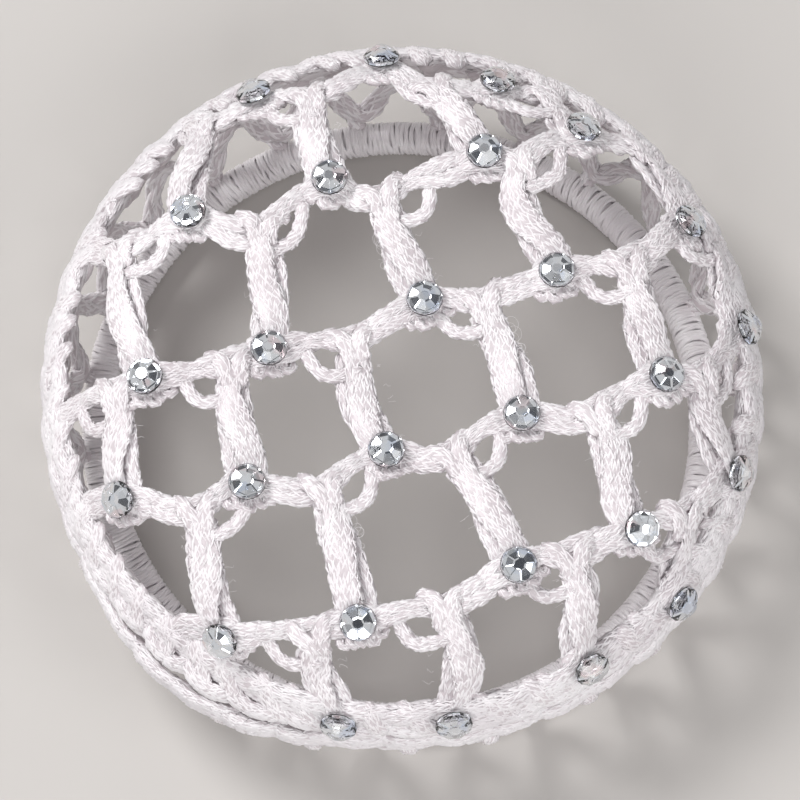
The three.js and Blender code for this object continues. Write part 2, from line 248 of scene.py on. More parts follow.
def curve_through(points, per_span):
    """A smooth line through the points: a centripetal Catmull-Rom curve."""
    points = np.asarray(points, float)
    ends = np.vstack([2 * points[0] - points[1], points, 2 * points[-1] - points[-2]])
    out = []
    for i in range(len(points) - 1):
        p0, p1, p2, p3 = ends[i:i + 4]
        t0 = 0.0
        t1 = t0 + max(np.linalg.norm(p1 - p0), 1e-6) ** 0.5
        t2 = t1 + max(np.linalg.norm(p2 - p1), 1e-6) ** 0.5
        t3 = t2 + max(np.linalg.norm(p3 - p2), 1e-6) ** 0.5
        t = np.linspace(t1, t2, per_span, endpoint=False)[:, None]
        a1 = (t1 - t) / (t1 - t0) * p0 + (t - t0) / (t1 - t0) * p1
        a2 = (t2 - t) / (t2 - t1) * p1 + (t - t1) / (t2 - t1) * p2
        a3 = (t3 - t) / (t3 - t2) * p2 + (t - t2) / (t3 - t2) * p3
        b1 = (t2 - t) / (t2 - t0) * a1 + (t - t0) / (t2 - t0) * a2
        b2 = (t3 - t) / (t3 - t1) * a2 + (t - t1) / (t3 - t1) * a3
        out.append((t2 - t) / (t2 - t1) * b1 + (t - t1) / (t2 - t1) * b2)
    return np.vstack(out + [points[-1:]])


class Yarn:
    """Collects the triangles of one piece of the cloth."""

    def __init__(self):
        self.points, self.faces, self.spots, self.kinds, self.count = [], [], [], [], 0

    def put(self, points, faces, spots, kind):
        self.points.append(points)
        self.faces.append(faces + self.count)
        self.spots.append(spots)
        self.kinds.append(np.full(len(faces), kind))
        self.count += len(points)

    def strand(self, path, normals, width, depth, roll=0.0, closed=False, fine=1.0,
               inner=True, knit=True):
        """Adds a strand of knitted tape along a path: a smooth core and the stitches on it.

        The stitches are fine on the strand's outer side, and larger on its inner side, where
        they can be left out. fine is how large the fine ones are."""
        size = len(path)
        data = np.column_stack([path, normals, np.broadcast_to(width, size),
                                np.broadcast_to(depth, size), np.broadcast_to(roll, size)])
        if closed:
            data = np.vstack([data, data[:1]])
        gaps = np.linalg.norm(np.diff(data[:, :3], axis=0), axis=1)
        run = np.concatenate([[0], np.cumsum(gaps)])
        length = run[-1]
        rings = max(4, int(round(length / RING_STEP)))
        at = np.linspace(0, length, rings + 1)
        rows = np.column_stack([np.interp(at, run, data[:, k]) for k in range(data.shape[1])])
        place, out = rows[:, :3], unit(rows[:, 3:6])
        if closed:
            tangent = unit(np.roll(place[:-1], -1, 0) - np.roll(place[:-1], 1, 0))
            tangent = np.vstack([tangent, tangent[:1]])
        else:
            tangent = unit(np.gradient(place, axis=0))
        side = unit(np.cross(tangent, out))
        out = np.cross(side, tangent)
        turn, lean = np.cos(rows[:, 8:9]), np.sin(rows[:, 8:9])
        side, out = turn * side + lean * out, turn * out - lean * side
        half_w, half_d = rows[:, 6:7] / 2, rows[:, 7:8] / 2
        if not closed:
            # The ends are rounded off
            end = np.minimum(at, length - at)[:, None] / np.maximum(half_d * 1.4, 0.3)
            round_off = np.sqrt(np.clip(1 - (1 - np.minimum(end, 1)) ** 2, 0.02, 1))
            half_w, half_d = half_w * round_off, half_d * round_off
        around = (place, side, out, half_w, half_d, at, closed)
        self.core(*around)
        if knit:
            self.stitches(*around, 90 - OUTER_SPREAD, 90 + OUTER_SPREAD, fine)
        if knit and inner:
            self.stitches(*around, 90 + OUTER_SPREAD, 450 - OUTER_SPREAD, fine * INNER_SIZE)

    def core(self, place, side, out, half_w, half_d, at, closed):
        """The smooth body of a strand."""
        angles = np.arange(RING_SIDES) * 2 * np.pi / RING_SIDES
        cosines, sines = np.cos(angles)[None, :, None], np.sin(angles)[None, :, None]
        points = (place[:, None] + side[:, None] * half_w[:, None] * cosines
                  + out[:, None] * half_d[:, None] * sines).reshape(-1, 3)
        rings = len(place)
        spots = np.stack([np.repeat(at[:, None], RING_SIDES, 1),
                          np.repeat(angles[None] * 1.2, rings, 0)], -1).reshape(-1, 2)
        faces = tube_faces(rings, RING_SIDES)
        if not closed:
            tip = len(points)
            points = np.vstack([points, place[:1], place[-1:]])
            spots = np.vstack([spots, [[0, 0], [at[-1], 0]]])
            j = np.arange(RING_SIDES)
            k = (j + 1) % RING_SIDES
            last = (rings - 1) * RING_SIDES
            faces = np.vstack([faces, np.stack([np.full_like(j, tip), k, j], -1),
                               np.stack([np.full_like(j, tip + 1), last + j, last + k], -1)])
        self.put(points, faces, spots, SHADED_CORE)

    def stitches(self, place, side, out, half_w, half_d, at, closed, first, last, fine):
        """The legs of the knit between two bearings round the strand, in degrees."""
        mean_w, mean_d = float(half_w.mean()), float(half_d.mean())
        angles = np.linspace(0, 2 * np.pi, 181)
        steps = np.hypot(mean_w * np.diff(np.cos(angles)), mean_d * np.diff(np.sin(angles)))
        arc = np.concatenate([[0], np.cumsum(steps)])

        def arc_at(bearing):
            turns, rest = divmod(math.radians(bearing), 2 * math.pi)
            return turns * arc[-1] + np.interp(rest, angles, arc)

        low, high = arc_at(first), arc_at(last)
        wales = max(2, int(round((high - low) / (WALE * fine))))
        pitch = (high - low) / wales
        length = at[-1]
        count = max(2, int(round(length / (STITCH * fine))))
        step = length / count
        w, i = np.meshgrid(np.arange(wales), np.arange(count), indexing="ij")
        w, i = w.ravel(), i.ravel()
        n = len(w)
        along = (i + 0.5 + STAGGER * (w // 2 % 2)) * step + rng.normal(0, 0.24, n) * fine
        across = low + (w + 0.5) * pitch + rng.normal(0, 0.05, n) * fine
        lean = np.where(w % 2, 1, -1) * LEG_SLANT * fine * rng.normal(1, 0.7, n)
        reach = LEG_SHARE * step * rng.normal(1.04, 0.09, n)
        # Runs of short legs leave small openings in the knit, where the core's painted shade shows
        # through
        open_from = rng.uniform(-0.3, 1, wales) * count
        open_run = rng.integers(3, 8, wales) * (rng.random(wales) < OPEN_WALES)
        slack = (i >= open_from[w]) & (i < (open_from + open_run)[w])
        reach = reach * np.where(slack, OPEN_REACH, 1)
        girth = LEG_WIDTH * fine * rng.normal(1, 0.18, n)
        high_off = LEG_HEIGHT * fine ** 0.5 * rng.normal(1, 0.3, n)
        # A leg is a low ridge on eight points: an end, two rows of three across, an end
        stations = np.array([-1, -0.42, -0.42, -0.42, 0.42, 0.42, 0.42, 1])
        edges = np.array([0, -1, 0, 1, -1, 0, 1, 0])
        lifts = np.array([-0.5, -0.25, 1, -0.25, -0.25, 1, -0.25, -0.5])
        s = along[:, None] + reach[:, None] * stations
        if closed:
            s = s % length
        else:
            s = np.clip(s, 0.02, length - 0.02)
        a = across[:, None] + lean[:, None] * stations + girth[:, None] * edges
        f = np.interp(s.ravel(), at, np.arange(len(at)))
        k = np.minimum(f.astype(int), len(at) - 2)
        t = (f - k)[:, None]
        phi = np.interp(a.ravel() % arc[-1], arc, angles)[:, None]

        def between(values):
            return values[k] * (1 - t) + values[k + 1] * t

        bw, bd, bs, bo = between(half_w), between(half_d), between(side), between(out)
        normal = unit(bs * np.cos(phi) * bd + bo * np.sin(phi) * bw)
        points = (between(place) + bs * bw * np.cos(phi) + bo * bd * np.sin(phi)
                  + normal * (high_off[:, None] * lifts).reshape(-1, 1))
        base = np.arange(n)[:, None, None] * len(stations)
        pattern = np.array([[0, 2, 1], [0, 3, 2], [1, 2, 5], [1, 5, 4], [2, 3, 6], [2, 6, 5],
                            [4, 5, 7], [5, 6, 7]])
        faces = (base + pattern[None]).reshape(-1, 3)
        spots = np.stack([s.ravel(), a.ravel()], -1)
        spots[:, 0] += np.repeat(rng.uniform(0, 40, n), len(stations))
        self.put(points, faces, spots, TAPE)


def flat_strand(yarn, spots, lift, width, depth, roll=0.0, **more):
    """A strand whose course is given on the flat pattern."""
    lift = np.broadcast_to(lift, len(spots))
    path, normals = dome(spots, lift)
    yarn.strand(path, normals, width, depth, roll, **more)


# The net's plan, as in the part's source
def row_point(row, along, drop=0.0):
    level = row["level"] + row["lean"] * along + row["bow"] * along ** 2 - drop
    return np.array([STONE_PITCH * along, ROW_PITCH * level])


def within(spot, limit):
    return spot * min(1, limit / np.hypot(*spot))


def plan(row):
    """The row's stones, the sags of its chain and the hooks of the next row's bars."""
    alongs = [row["stones"][0] - 1, *row["stones"], row["stones"][-1] + 1]
    rises = [0, *row["rise"], 0]
    knots = [within(row_point(row, a, -r), BORDER_REACH) for a, r in zip(alongs, rises)]
    sags, hooks = [], []
    for i, (drop, place, share) in enumerate(zip(row["sag"], row["place"], row["hook"])):
        along = alongs[i] + (alongs[i + 1] - alongs[i]) * place
        sag = within(row_point(row, along, drop), NET_REACH)
        sags.append(sag)
        if share < place:
            hooks.append(knots[i] + (sag - knots[i]) * share / place)
        else:
            hooks.append(sag + (knots[i + 1] - sag) * (share - place) / (1 - place))
    return knots[1:-1], sags, hooks


def to_border(spot):
    return spot * BORDER_REACH / np.hypot(*spot)


def over_border(spot):
    return np.hypot(*spot) > NET_REACH


def chain_points(stones, sags):
    points = []
    for i, sag in enumerate(sags):
        points.append(sag)
        if i < len(stones):
            points.append(stones[i])
    first = [] if over_border(stones[0]) else [to_border(sags[0]), sags[0]]
    last = [] if over_border(stones[-1]) else [sags[-1], to_border(sags[-1])]
    return first + points[1:-1] + last


PLANS = [plan(row) for row in ROWS]


def hangers(r):
    """Where a row's bars hang, their stones, and what lies beside each bar along the row above,
    on the side of its loop: a stone, or the border before the first one."""
    stones, _, _ = PLANS[r]
    if r == 0:
        return [(to_border(at), at, None) for at in stones]
    above_stones, above_sags, above_hooks = PLANS[r - 1]
    start = None if over_border(above_stones[0]) else to_border(above_sags[0])
    beside = [start, *above_stones, None]
    turned = 1 if ROWS[r]["side"] < 0 else 0
    first = ROWS[r]["hang"]
    return [(above_hooks[i + first], at, beside[i + first + 1 - turned])
            for i, at in enumerate(stones)]


# The stitches of the crochet, made of strands of tape
def crochet_chain(yarn, line, pitch, reach, tape, thick, closed=False, openings=(), **more):
    """A row of chain stitches along a line of the flat pattern: each is a loop of tape that
    comes up through the one before it. Beside each of the openings, which are a place and the
    way out of it, the chain is drawn thin and gives way."""
    gaps = np.hypot(*np.diff(line, axis=0).T)
    run = np.concatenate([[0], np.cumsum(gaps)])
    length = run[-1]
    count = max(1, int(round(length / pitch)))
    step = length / count
    q = np.linspace(0, 1, STITCH_POINTS, endpoint=False)
    h = 0.5 - 0.5 * np.cos(2 * np.pi * q)
    lift_shape = np.interp(h, [0, 0.12, 0.35, 0.7, 1], [-0.25, 0.3, 0.5, 0.25, -0.6])

    def on_line(s):
        return np.column_stack([np.interp(s, run, line[:, k]) for k in range(2)])

    for i in range(count):
        wide = reach * rng.normal(1, 0.06) * (WIDER if rng.random() < WIDE_SHARE else 1)
        s = (i - STITCH_BACK + STITCH_RUN * h) * step
        if closed:
            s = s % length
        else:
            s = np.clip(s, 0, length)
        side = wide * np.sin(2 * np.pi * q) * (0.6 + 0.4 * h) + rng.normal(0, 0.12)
        centre = on_line(s)
        across = crosswise(unit(on_line(np.clip(s + 0.3, 0, length))
                                - on_line(np.clip(s - 0.3, 0, length))))
        slim = np.zeros(len(q))
        away = np.zeros_like(centre)
        for opening, way in openings:
            near = np.exp(-np.sum((centre - opening) ** 2, -1) / OPENING_REACH ** 2)
            slim = np.maximum(slim, near)
            away += OPENING_SHIFT * near[:, None] * way
        spots = centre + across * (side * (1 - 0.55 * slim))[:, None] + away
        lift = lift_shape * thick * rng.normal(1, 0.08)
        flat_strand(yarn, spots, lift, tape * rng.normal(1, 0.04) * (1 - 0.3 * slim), thick,
                    closed=True, **more)


def rope(yarn, line, plies, spread, rise, turns, tape, thick):
    """Strands of tape that wind round each other along a line of the flat pattern."""
    gaps = np.hypot(*np.diff(line, axis=0).T)
    share = np.concatenate([[0], np.cumsum(gaps)]) / gaps.sum()
    across = crosswise(unit(np.gradient(line, axis=0)))
    length = gaps.sum()
    for p in range(plies):
        angle = 2 * np.pi * (p / plies + turns * share)
        off = spread * np.cos(angle)
        lift = rise * np.sin(angle)
        swell = 1 + 0.07 * np.sin(share * length * 2 * np.pi / 3.8 + rng.uniform(0, 6))
        flat_strand(yarn, line + across * off[:, None], lift, tape * swell, thick,
                    0.3 * np.cos(angle))


def bar(yarn, head, stone):
    """A post of the net, from the chain above it to its stone: two flat leaves of tape that
    cross, and at its head two turns that run off into the chain."""
    down, across = post_ways(head, stone)
    start = head + down * (CHAIN_WIDTH / 2 - 0.9)
    end = stone + down * 0.9
    t = np.linspace(0, 1, 40)
    bend = rng.normal(0, 0.6)
    wave = rng.normal(0, 0.3)
    line = (start + (end - start) * t[:, None]
            + across * (bend * np.sin(np.pi * t) + wave * np.sin(2 * np.pi * t))[:, None])
    way = rng.choice([-1, 1], p=[0.3, 0.7])
    cross = rng.uniform(0.3, 0.65)
    for leaf, (top, foot) in enumerate(LEAF_OFFS):
        # The upper leaf swings across the lower one on its way down
        swing = np.tanh((t - cross) * 5) * (-1 if leaf else 1) * way
        off = swing * (top + (foot - top) * t)
        swell = (0.82 + 0.24 * np.sin(np.pi * np.clip(t * 1.1 - 0.05, 0, 1))
                 + 0.05 * np.sin(t * 14 + rng.uniform(0, 6)))
        lift = LEAF_LIFTS[leaf] + 0.2 * np.cos(t * 5 + rng.uniform(0, 6))
        flat_strand(yarn, line + across * off[:, None], lift, LEAF_WIDTHS[leaf] * swell,
                    LEAF_THICKNESS, LEAF_ROLLS[leaf] * swing)
    for turn in (-1, 1):
        # The head of the post parts in two turns, which lie over the chain and along it
        jog = rng.normal(0, 0.25)
        points = np.array([
            [3.6, turn * 0.7], [1.6, turn * 0.75], [0.1, turn * 1.15 + jog],
            [-0.9 + jog * 0.4, turn * 2.1 + jog], [-0.9, turn * (3.7 + 1.4 * jog)]])
        lift = np.array([0.5, 1.0, 1.15, 0.7, -0.4])
        course = curve_through(np.column_stack([points, lift]), 8)
        spots = head + down * course[:, :1] + across * course[:, 1:2]
        flat_strand(yarn, spots, course[:, 2], *HEAD_TAPE)


def side_loop(yarn, head, stone, beside, side):
    """The thin loop beside the head of a post."""
    down = unit(stone - head)
    caught = head + down * (LOOP_DROP + CHAIN_WIDTH / 2)
    start = head + unit(beside - head) * (LOOP_REACH + rng.uniform(0.6, 1.4))
    start = start + unit(caught - start) * 0.3
    middle = (start + caught) / 2
    outwards = side * unit(crosswise(caught - start))
    bulge = LOOP_BULGE * rng.uniform(0.95, 1.3)
    points = np.array([start, middle + outwards * bulge, caught - outwards * 0.5])
    line = curve_through(points, 12)
    lift = np.interp(np.linspace(0, 1, len(line)), [0, 0.2, 0.8, 1], [0.2, 0.1, 0.2, 0.9])
    flat_strand(yarn, line, lift, *LOOP_TAPE)


def ridge(yarn, head, stone):
    """The scrubby little loops below a stone."""
    down, across = post_ways(head, stone)
    places = np.linspace(-2.5, 2.5, 5) + rng.normal(0, 0.2, 5)
    for x in places:
        out = RIDGE_REACH + rng.uniform(-0.1, 0.5) - 0.12 * x ** 2
        wide = rng.uniform(0.45, 0.65)
        points = np.array([[1.1, x - wide, -0.2], [out, x - wide, 0.35], [out + 0.5, x, 0.2],
                           [out, x + wide, -0.1], [1.1, x + wide, -0.4]])
        course = curve_through(points, 6)
        spots = stone + down * course[:, :1] + across * course[:, 1:2]
        flat_strand(yarn, spots, course[:, 2], *RIDGE_TAPE, fine=0.85)


def collar(yarn, head, stone):
    """The turns of tape that the stone sits on."""
    down, across = post_ways(head, stone)
    for lift, radius, start in ((-0.15, 1.9, 0.4), (0.05, 1.5, 3.4)):
        angle = start + np.linspace(0, 1.45 * np.pi, 24)
        spots = (stone + down * (radius * np.sin(angle))[:, None] * 0.9
                 + across * (radius * np.cos(angle))[:, None] * 1.25)
        flat_strand(yarn, spots, lift + 0.1 * np.sin(angle * 2), *COLLAR_TAPE)


def make_piece(name, yarn, slot, *nodes):
    """Makes one object of the yarn, which stands for the nodes."""
    points = (np.concatenate(yarn.points) * MM).astype(np.float32)
    faces = np.concatenate(yarn.faces).astype(np.int32)
    spots = np.concatenate(yarn.spots).astype(np.float32)
    kinds = np.concatenate(yarn.kinds).astype(np.int32)
    mesh = bpy.data.meshes.new(name)
    mesh.vertices.add(len(points))
    mesh.vertices.foreach_set("co", points.ravel())
    mesh.loops.add(faces.size)
    mesh.loops.foreach_set("vertex_index", faces.ravel())
    mesh.polygons.add(len(faces))
    mesh.polygons.foreach_set("loop_start", np.arange(0, faces.size, 3, dtype=np.int32))
    mesh.polygons.foreach_set("use_smooth", np.ones(len(faces), dtype=bool))
    layer = mesh.uv_layers.new(name="tape")
    layer.data.foreach_set("uv", spots[faces.ravel()].ravel())
    mesh.materials.append(shaded_core_look)
    mesh.materials.append(tape_look)
    mesh.polygons.foreach_set("material_index", kinds)
    mesh.update(calc_edges=True)
    piece = bpy.data.objects.new(name, mesh)
    bpy.context.scene.collection.objects.link(piece)
    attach(piece, "root")
    if nodes:
        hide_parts(*nodes)
    print(name, len(faces), "triangles")


def shader(name, **values):
    material = bpy.data.materials.new(name)
    material.use_nodes = True
    surface = material.node_tree.nodes["Principled BSDF"]
    for key, value in values.items():
        surface.inputs[key.replace("_", " ")].default_value = value
    return material, material.node_tree, surface


def yarn_look(name, light, dark, fibre_height):
    """White knitted rayon: satin, with fine fibres along each stitch."""
    material, tree, surface = shader(name, Roughness=0.3, Specular_IOR_Level=0.75,
                                     Sheen_Weight=0.15, Sheen_Roughness=0.4)
    nodes, links = tree.nodes, tree.links
    coords = nodes.new("ShaderNodeUVMap")
    coords.uv_map = "tape"
    stretch = nodes.new("ShaderNodeMapping")
    stretch.inputs["Scale"].default_value = (1.1, 14, 1)
    fibres = nodes.new("ShaderNodeTexNoise")
    fibres.inputs["Scale"].default_value = 1.0
    fibres.inputs["Detail"].default_value = 3
    links.new(coords.outputs["UV"], stretch.inputs["Vector"])
    links.new(stretch.outputs["Vector"], fibres.inputs["Vector"])
    place = nodes.new("ShaderNodeTexCoord")
    blotch = nodes.new("ShaderNodeTexNoise")
    blotch.inputs["Scale"].default_value = 160
    blotch.inputs["Detail"].default_value = 3
    links.new(place.outputs["Object"], blotch.inputs["Vector"])
    add = nodes.new("ShaderNodeMath")
    add.operation = "MULTIPLY_ADD"
    add.inputs[1].default_value = 0.5
    links.new(blotch.outputs["Fac"], add.inputs[0])
    half = nodes.new("ShaderNodeMath")
    half.operation = "MULTIPLY"
    half.inputs[1].default_value = 0.5
    links.new(fibres.outputs["Fac"], half.inputs[0])
    links.new(half.outputs[0], add.inputs[2])
    ramp = nodes.new("ShaderNodeValToRGB")
    ramp.color_ramp.elements[0].position = 0.36
    ramp.color_ramp.elements[0].color = (*dark, 1)
    ramp.color_ramp.elements[1].position = 0.6
    ramp.color_ramp.elements[1].color = (*light, 1)
    links.new(add.outputs[0], ramp.inputs["Fac"])
    links.new(ramp.outputs["Color"], surface.inputs["Base Color"])
    bump = nodes.new("ShaderNodeBump")
    bump.inputs["Strength"].default_value = 0.6
    bump.inputs["Distance"].default_value = fibre_height
    links.new(fibres.outputs["Fac"], bump.inputs["Height"])
    links.new(bump.outputs["Normal"], surface.inputs["Normal"])
    return material


# The core's colours are darker than the tape's: painted shade, which stands for the shade between
# the legs of the knit
shaded_core_look = yarn_look("yarn_core_painted_shade", (0.68, 0.62, 0.645), (0.52, 0.46, 0.485), 0.00008)
tape_look = yarn_look("yarn_tape", (0.88, 0.85, 0.865), (0.77, 0.72, 0.745), 0.00005)

# The rows of the net
for r in range(len(ROWS)):
    stones, sags, _ = PLANS[r]
    yarn = Yarn()
    last = r == len(ROWS) - 1
    if not last:
        line = curve_through(chain_points(stones, sags), 16)
        openings = []
        for head, stone, beside in hangers(r + 1):
            if beside is not None:
                openings.append((head + unit(beside - head) * OPENING_BESIDE,
                                 -unit(stone - head)))
        crochet_chain(yarn, line, CHAIN_PITCH, CHAIN_SPREAD, *CHAIN_TAPE, openings=openings)
    for head, stone, beside in hangers(r):
        bar(yarn, head, stone)
        if beside is not None:
            side_loop(yarn, head, stone, beside, ROWS[r]["side"])
        collar(yarn, head, stone)
        ridge(yarn, head, stone)
    if last:
        make_piece("last_bars", yarn, "yarn", "border_row")
    else:
        make_piece(f"crochet_row_{r + 1}", yarn, "yarn", f"net_row_{r + 1}")


def fibre(yarn, points, radius):
    """A single stray fibre, as a thin three-sided thread."""
    line = curve_through(points, 5)
    tangent = unit(np.gradient(line, axis=0))
    side = unit(np.cross(tangent, [0.3, 0.2, 0.93]))
    out = np.cross(side, tangent)
    angle = np.arange(3) * 2 * np.pi / 3
    ring = (line[:, None] + radius * (side[:, None] * np.cos(angle)[None, :, None]
                                      + out[:, None] * np.sin(angle)[None, :, None]))
    points = ring.reshape(-1, 3)
    yarn.put(points, tube_faces(len(line), 3), np.zeros((len(points), 2)), TAPE)


# Stray fibres: fine fuzz along the posts, and a few tufts
yarn = Yarn()
for r in range(len(ROWS)):
    for head, stone, _ in hangers(r):
        down, across = post_ways(head, stone)
        for _ in range(FUZZ):
            edge = rng.choice([-1, 1])
            start = head + down * rng.uniform(1, np.hypot(*(stone - head))) + across * edge * 2.2
            place, _ = dome(start[None], 0.6)
            sway = rng.normal(0, 0.5, (3, 3))
            sideways = np.array([across[0], across[1], 0]) * edge
            reach = rng.uniform(0.5, 1.3)
            course = [[0, 0, 0]] + [sideways * reach * (k + 1) / 3 + sway[k] * 0.4
                                    for k in range(3)]
            fibre(yarn, place + np.array(course), FUZZ_RADIUS)
for r, i, edge in TUFTS:
    # A tuft of small loops that have come out of the tape
    head, stone, _ = hangers(r)[i]
    down, across = post_ways(head, stone)
    across = across * edge
    for _ in range(5):
        root = head + down * rng.uniform(6.0, 9.0) + across * 2.0
        swirl = np.linspace(0, 2 * np.pi * rng.integers(1, 3), 12)[:, None]
        reach = rng.uniform(0.5, 1.5)
        spots = (root + across * reach * (1 - np.cos(swirl)) / 2
                 + down * (0.5 * reach * np.sin(swirl) + rng.normal(0, 0.12) * swirl))
        place, normal = dome(spots, 0.3)
        fibre(yarn, place + normal * 0.4 * np.sin(swirl / 2) ** 2, TUFT_RADIUS)
make_piece("stray_fibres", yarn, "yarn")

# The border: a bed of tape, a chain over it, and turns of tape over both
yarn = Yarn()
bearing = np.linspace(0, 2 * np.pi, RING_POINTS)
flat_strand(yarn, ring_line(BORDER_REACH),
            0.25 + 0.2 * np.sin(9 * bearing) + 0.15 * np.sin(23 * bearing + 1),
            6.3 + 0.5 * np.sin(13 * bearing + 1), 1.9)
crochet_chain(yarn, ring_line(BORDER_REACH + 0.2), 7.2, 2.0, *BORDER_TAPE, closed=True, inner=False)
make_piece("border_chain", yarn, "yarn", "border_row")
yarn = Yarn()
for i in range(BORDER_TURNS):
    middle = 2 * np.pi * (i + rng.uniform(-0.25, 0.25)) / BORDER_TURNS
    t = np.linspace(-1, 1, 22)
    angle = middle + rng.uniform(0.03, 0.09) * t
    # They reach further up the dome at the far side, where the first row hangs clear of the border
    far = 1.0 + 0.9 * np.sin(middle)
    reach = BORDER_REACH - 0.6 * far + (2.5 + 0.7 * far) * np.sin(t * 1.4)
    flat_strand(yarn, polar(reach, angle), 1.0 - 1.2 * t ** 2, rng.uniform(2.5, 3.3), 1.3,
                inner=False)
make_piece("border_turns", yarn, "yarn", "border_row")

# The chain round the widest part
yarn = Yarn()
flat_strand(yarn, ring_line(BAND_REACH), 0.2 + 0.15 * np.sin(17 * bearing), 4.2, 1.4, fine=1.2)
crochet_chain(yarn, ring_line(BAND_REACH), 8.0, 1.0, *RIM_TAPE, closed=True, inner=False)
make_piece("rim_stitches", yarn, "yarn", "rim_chain")

# The gathered mesh
yarn = Yarn()
angle = np.linspace(0, 2 * np.pi, GATHER_COUNT * 24)
swing = np.cos(GATHER_COUNT * angle)
reach = GATHER_FOOT + (GATHER_TOP - GATHER_FOOT) * (1 + swing) / 2
rope(yarn, polar(reach, angle), 2, 0.7, 0.4, GATHER_COUNT * 1.5, *GATHER_TAPE)
for k in range(2 * GATHER_COUNT):
    # A turn of tape holds each bend of the mesh to the chain above or to the edge
    middle = np.pi * k / GATHER_COUNT
    up_here = k % 2 == 0
    at_bend = GATHER_TOP if up_here else GATHER_FOOT
    way = -1 if up_here else 1
    t = np.linspace(0, 1, 14)
    reach = at_bend + way * (-1.6 + 4.6 * t)
    angle = middle + 0.02 * np.sin(np.pi * t) * rng.choice([-1, 1])
    flat_strand(yarn, polar(reach, angle), 1.2 * np.sin(np.pi * np.clip(t * 1.15, 0, 1)) - 0.1,
                *HOLD_TAPE)
make_piece("gathered_stitches", yarn, "yarn", "gathered_mesh")

# The edging over the elastic: many thin turns of thread, side by side round the elastic
yarn = Yarn()
angle = np.linspace(0, 2 * np.pi, 120, endpoint=False)
ring = np.column_stack([np.cos(angle), np.sin(angle), np.zeros_like(angle)])
yarn.strand(ring * EDGE_RADIUS + [0, 0, EDGE_DEPTH / 2], np.tile([0, 0, 1.0], (len(ring), 1)),
            EDGE_WIDTH - 0.9, EDGE_DEPTH - 1.1, closed=True, knit=False)
yarn.kinds[-1][:] = TAPE


def thread_turn(yarn, start):
    """One turn of thread round the edge."""
    t = np.arange(THREAD_POINTS) * 2 * np.pi / THREAD_POINTS
    section = np.column_stack([np.cos(t), np.sin(t)])
    flat = np.sign(section) * np.abs(section) ** 0.8
    fat = THREAD * rng.uniform(0.8, 1.2)
    swell = fat * (1 + 0.12 * np.sin(4 * t + rng.uniform(0, 6)))
    tilt = rng.normal(0.012, 0.002)
    angle = start + tilt * np.sin(t) + 0.004 * np.sin(2 * t + rng.uniform(0, 6))
    radius = EDGE_RADIUS + flat[:, 0] * (EDGE_WIDTH / 2 - fat)
    height = EDGE_DEPTH / 2 + flat[:, 1] * (EDGE_DEPTH / 2 - fat - 0.05)
    place = np.column_stack([radius * np.cos(angle), radius * np.sin(angle), height])
    tangent = unit(np.roll(place, -1, 0) - np.roll(place, 1, 0))
    side = unit(np.cross(tangent, np.column_stack([-np.sin(angle), np.cos(angle), 0 * angle])))
    out = np.cross(side, tangent)
    phi = np.arange(THREAD_SIDES) * 2 * np.pi / THREAD_SIDES
    tube = (place[:, None] + swell[:, None, None]
            * (side[:, None] * np.cos(phi)[None, :, None]
               + out[:, None] * np.sin(phi)[None, :, None]))
    i, j = np.indices((THREAD_POINTS, THREAD_SIDES))
    spots = np.stack([i * 0.7 + start * 40, j * 0.35], -1).reshape(-1, 2)
    yarn.put(tube.reshape(-1, 3), tube_faces(THREAD_POINTS, THREAD_SIDES, closed=True), spots,
             TAPE)


for i in range(EDGE_TURNS):
    thread_turn(yarn, 2 * np.pi * (i + rng.normal(0, 0.12)) / EDGE_TURNS)
make_piece("edge_stitches", yarn, "edging", "elastic_edge")


def facet_mesh(name, rings, faces):
    """A faceted body from rings of points round its axis, in stone radii and millimetres."""
    points = []
    for reach, height, sides in rings:
        for k in range(sides):
            angle = 2 * math.pi * k / sides
            points.append((reach * STONE_DIAMETER / 2 * math.cos(angle),
                           reach * STONE_DIAMETER / 2 * math.sin(angle), height))
    mesh = bpy.data.meshes.new(name)
    mesh.from_pydata([tuple(c * MM for c in p) for p in points], [], faces)
    mesh.update()
    return mesh


def band_faces(upper, lower, sides):
    """Four-sided faces between two rings of the same count."""
    return [[upper + k, lower + k, lower + (k + 1) % sides, upper + (k + 1) % sides]
            for k in range(sides)]


def stone_mesh(name):
    """A round, flat-backed crystal: a small table, eight wedges, and a ring of small facets."""
    rings = [(0.34, 1.98, 8), (0.83, 1.18, 8), (0.985, 0.62, 16), (1.0, 0.40, 16),
             (0.97, 0.02, 16)]
    wedge, crown, girdle, foot = 8, 16, 32, 48
    faces = [list(range(8))] + band_faces(0, wedge, 8)
    for k in range(8):
        left, middle, right = (crown + (2 * k + j) % 16 for j in (-1, 0, 1))
        faces += [[wedge + k, left, middle], [wedge + k, middle, right],
                  [wedge + k, right, wedge + (k + 1) % 8]]
    faces += band_faces(crown, girdle, 16) + band_faces(girdle, foot, 16)
    faces.append([foot + k for k in range(16)][::-1])
    return facet_mesh(name, rings, faces)


def foil_mesh(name):
    """The silvered back inside a crystal, with a small flat middle and eight wedges."""
    rings = [(0.27, 0.95, 8), (0.87, 0.36, 8), (0.87, 0.08, 8)]
    faces = [list(range(8))] + band_faces(0, 8, 8) + band_faces(8, 16, 8)
    faces.append([16 + k for k in range(8)][::-1])
    return facet_mesh(name, rings, faces)


glass, _, _ = shader("crystal_glass", Base_Color=(0.97, 0.98, 1.0, 1), Roughness=0.0,
                     Transmission_Weight=1.0, IOR=1.56)
foil, foil_tree, foil_surface = shader("crystal_foil", Roughness=0.05, Metallic=1.0)
